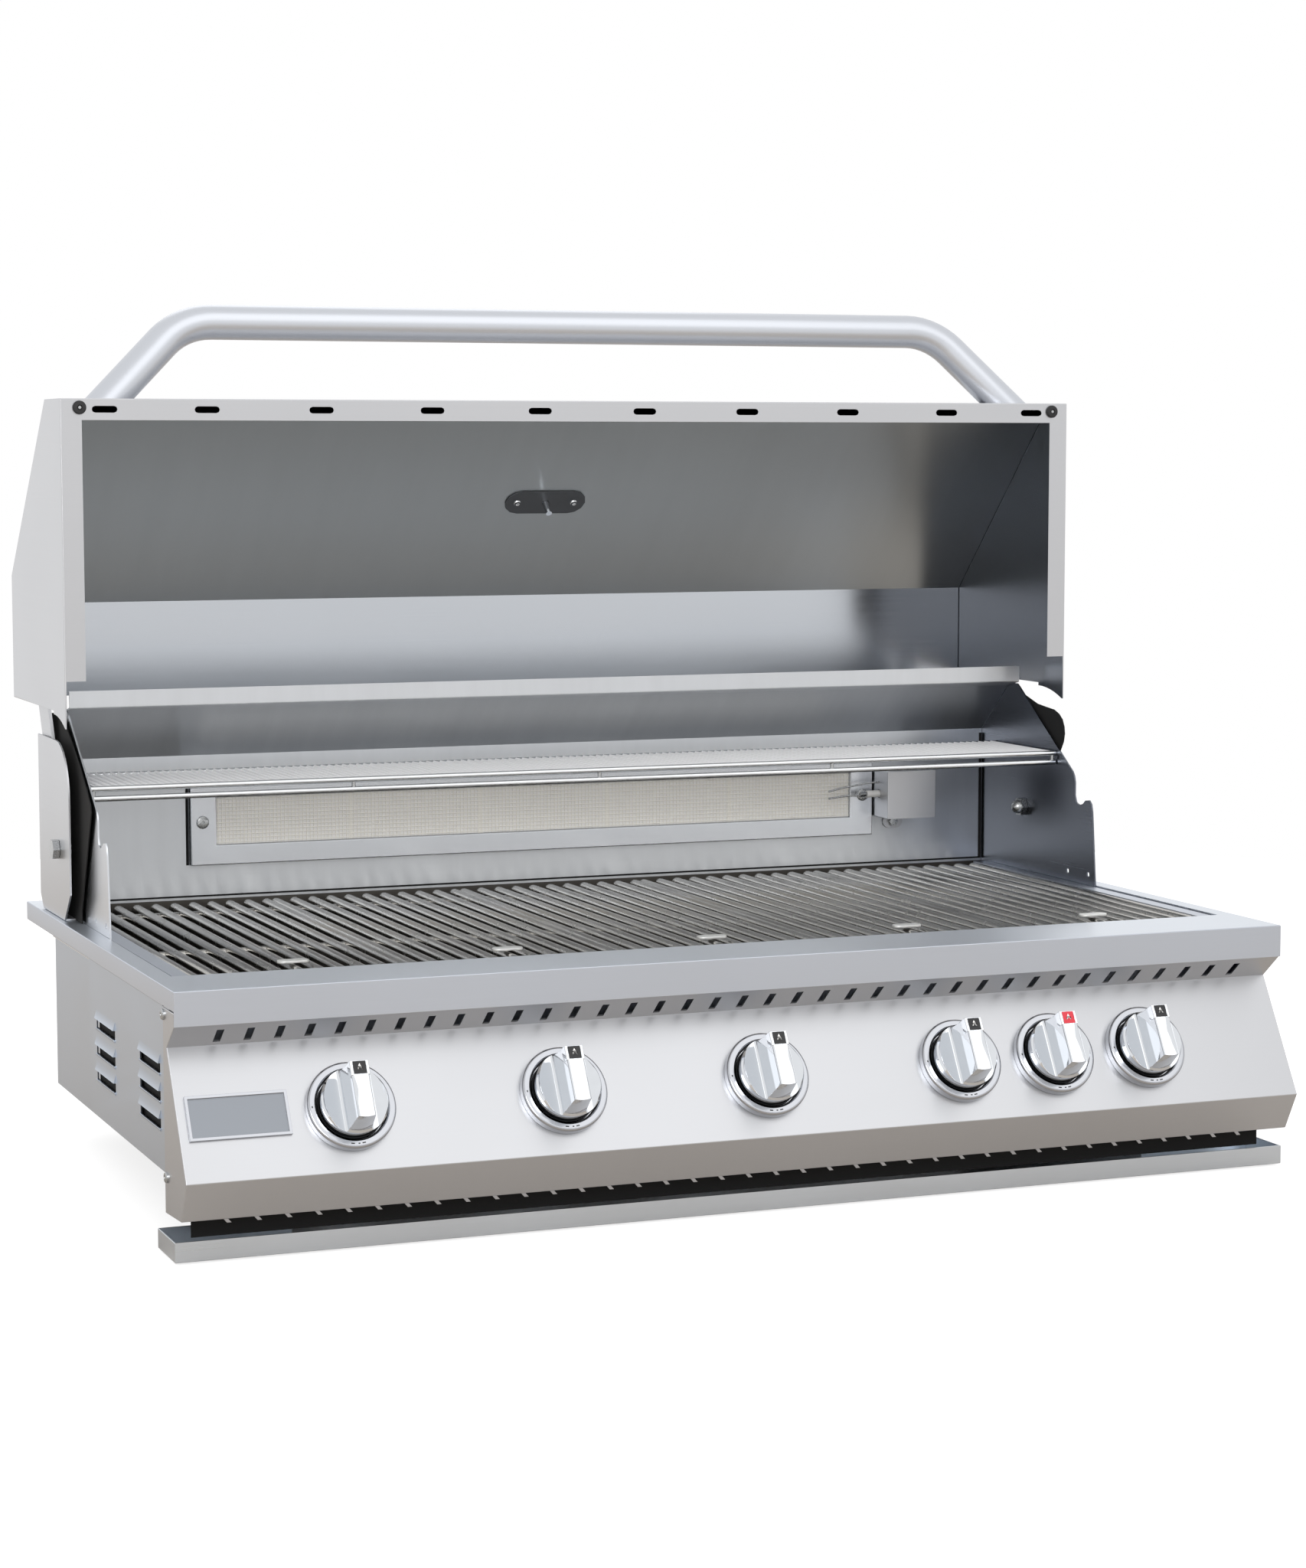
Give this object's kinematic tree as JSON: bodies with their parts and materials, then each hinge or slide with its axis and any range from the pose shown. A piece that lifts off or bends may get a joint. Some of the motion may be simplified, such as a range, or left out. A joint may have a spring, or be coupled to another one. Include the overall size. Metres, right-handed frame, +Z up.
{
  "type": "built-in gas grill",
  "caption": "Stainless built-in gas grill with a lifted lid, cooking grates, rear infrared burner, warming rack, turning knobs and a pull-out drip tray.",
  "frame": {"origin": "middle of the footprint's bounding box, on the surface that the runner feet stand on", "axes": "+X to the grill's right as seen by the cook, +Y to the rear, +Z up"},
  "size_m": [1.008, 0.6882, 0.7682],
  "materials": {
    "brushed_stainless": "brushed",
    "satin_stainless": "satin",
    "oven_stainless": "heat tinted",
    "grate_steel": "drawn rod",
    "chromed_zinc": "polished",
    "valve_brass": "cast",
    "burner_ceramic": "fired, matt",
    "electrode_porcelain": "glazed",
    "zinc_fastener": "zinc plated"
  },
  "bodies": {
    "root": {"trim_frame": "brushed_stainless", "control_panel": "brushed_stainless", "rear_hood": "brushed_stainless", "side_shield_left": "brushed_stainless", "side_shield_right": "brushed_stainless", "side_panel_left": "brushed_stainless", "side_panel_right": "brushed_stainless", "hinge_ear_left": "brushed_stainless", "hinge_ear_right": "brushed_stainless", "rear_burner_frame": "brushed_stainless", "igniter_box": "brushed_stainless", "badge_plate": "satin_stainless", "warming_rack": "satin_stainless", "firebox": "oven_stainless", "burner_1": "oven_stainless", "burner_2": "oven_stainless", "burner_3": "oven_stainless", "burner_4": "oven_stainless", "burner_5": "oven_stainless", "flame_tamer_1": "oven_stainless", "flame_tamer_2": "oven_stainless", "flame_tamer_3": "oven_stainless", "flame_tamer_4": "oven_stainless", "flame_tamer_5": "oven_stainless", "bezel_1": "chromed_zinc", "bezel_2": "chromed_zinc", "bezel_3": "chromed_zinc", "bezel_4": "chromed_zinc", "bezel_5": "chromed_zinc", "bezel_6": "chromed_zinc", "gas_manifold": "valve_brass", "rear_burner_tile": "burner_ceramic", "igniter_electrode": "electrode_porcelain", "hinge_bolt_left": "zinc_fastener", "hinge_bolt_right": "zinc_fastener"},
    "lid": {"lid_shell": "brushed_stainless", "lid_liner": "oven_stainless", "lid_handle": "satin_stainless", "thermometer": "chromed_zinc", "probe_plate": "satin_stainless", "lid_arm_left": "brushed_stainless", "lid_arm_right": "brushed_stainless"},
    "tray": {"drip_tray": "brushed_stainless"},
    "grate_1": {"grate_1": "grate_steel"},
    "grate_2": {"grate_2": "grate_steel"},
    "grate_3": {"grate_3": "grate_steel"},
    "grate_4": {"grate_4": "grate_steel"},
    "grate_5": {"grate_5": "grate_steel"},
    "stem_1": {"valve_stem_1": "zinc_fastener"},
    "knob_1": {"knob_1": "chromed_zinc"},
    "stem_2": {"valve_stem_2": "zinc_fastener"},
    "knob_2": {"knob_2": "chromed_zinc"},
    "stem_3": {"valve_stem_3": "zinc_fastener"},
    "knob_3": {"knob_3": "chromed_zinc"},
    "stem_4": {"valve_stem_4": "zinc_fastener"},
    "knob_4": {"knob_4": "chromed_zinc"},
    "stem_5": {"valve_stem_5": "zinc_fastener"},
    "knob_5": {"knob_5": "chromed_zinc"},
    "stem_6": {"valve_stem_6": "zinc_fastener"},
    "knob_6": {"knob_6": "chromed_zinc"}
  },
  "joints": [
    {"name": "lid_hinge", "type": "hinge", "parent": "root", "child": "lid", "pos_m": [0, 0.16013, 0.2794], "axis": [1, 0, 0], "range_deg": [0, 90]},
    {"name": "tray_slide", "type": "slide", "parent": "root", "child": "tray", "axis": [0, -1, 0], "range_m": [0, 0.36]},
    {"name": "grate_1_lift", "type": "slide", "parent": "root", "child": "grate_1", "axis": [0, 0, 1], "range_m": [0, 0.03]},
    {"name": "grate_2_lift", "type": "slide", "parent": "root", "child": "grate_2", "axis": [0, 0, 1], "range_m": [0, 0.03]},
    {"name": "grate_3_lift", "type": "slide", "parent": "root", "child": "grate_3", "axis": [0, 0, 1], "range_m": [0, 0.03]},
    {"name": "grate_4_lift", "type": "slide", "parent": "root", "child": "grate_4", "axis": [0, 0, 1], "range_m": [0, 0.03]},
    {"name": "grate_5_lift", "type": "slide", "parent": "root", "child": "grate_5", "axis": [0, 0, 1], "range_m": [0, 0.03]},
    {"name": "knob_1_push", "type": "slide", "parent": "root", "child": "stem_1", "axis": [0, 0.8595, -0.5111], "range_m": [0, 0.0035], "stiffness_N_per_m": 900, "springref_m": -0.006},
    {"name": "knob_1_turn", "type": "hinge", "parent": "stem_1", "child": "knob_1", "pos_m": [-0.361, -0.29405, 0.11547], "axis": [0, -0.8595, 0.5111], "range_deg": [0, 180]},
    {"name": "knob_2_push", "type": "slide", "parent": "root", "child": "stem_2", "axis": [0, 0.8595, -0.5111], "range_m": [0, 0.0035], "stiffness_N_per_m": 900, "springref_m": -0.006},
    {"name": "knob_2_turn", "type": "hinge", "parent": "stem_2", "child": "knob_2", "pos_m": [-0.1805, -0.29405, 0.11547], "axis": [0, -0.8595, 0.5111], "range_deg": [0, 180]},
    {"name": "knob_3_push", "type": "slide", "parent": "root", "child": "stem_3", "axis": [0, 0.8595, -0.5111], "range_m": [0, 0.0035], "stiffness_N_per_m": 900, "springref_m": -0.006},
    {"name": "knob_3_turn", "type": "hinge", "parent": "stem_3", "child": "knob_3", "pos_m": [0, -0.29405, 0.11547], "axis": [0, -0.8595, 0.5111], "range_deg": [0, 180]},
    {"name": "knob_4_push", "type": "slide", "parent": "root", "child": "stem_4", "axis": [0, 0.8595, -0.5111], "range_m": [0, 0.0035], "stiffness_N_per_m": 900, "springref_m": -0.006},
    {"name": "knob_4_turn", "type": "hinge", "parent": "stem_4", "child": "knob_4", "pos_m": [0.1805, -0.29405, 0.11547], "axis": [0, -0.8595, 0.5111], "range_deg": [0, 180]},
    {"name": "knob_5_push", "type": "slide", "parent": "root", "child": "stem_5", "axis": [0, 0.8595, -0.5111], "range_m": [0, 0.0035], "stiffness_N_per_m": 900, "springref_m": -0.006},
    {"name": "knob_5_turn", "type": "hinge", "parent": "stem_5", "child": "knob_5", "pos_m": [0.361, -0.29405, 0.11547], "axis": [0, -0.8595, 0.5111], "range_deg": [0, 180]},
    {"name": "knob_6_push", "type": "slide", "parent": "root", "child": "stem_6", "axis": [0, 0.8595, -0.5111], "range_m": [0, 0.0035], "stiffness_N_per_m": 900, "springref_m": -0.006},
    {"name": "knob_6_turn", "type": "hinge", "parent": "stem_6", "child": "knob_6", "pos_m": [0.27075, -0.29405, 0.11547], "axis": [0, -0.8595, 0.5111], "range_deg": [0, 180]}
  ]
}
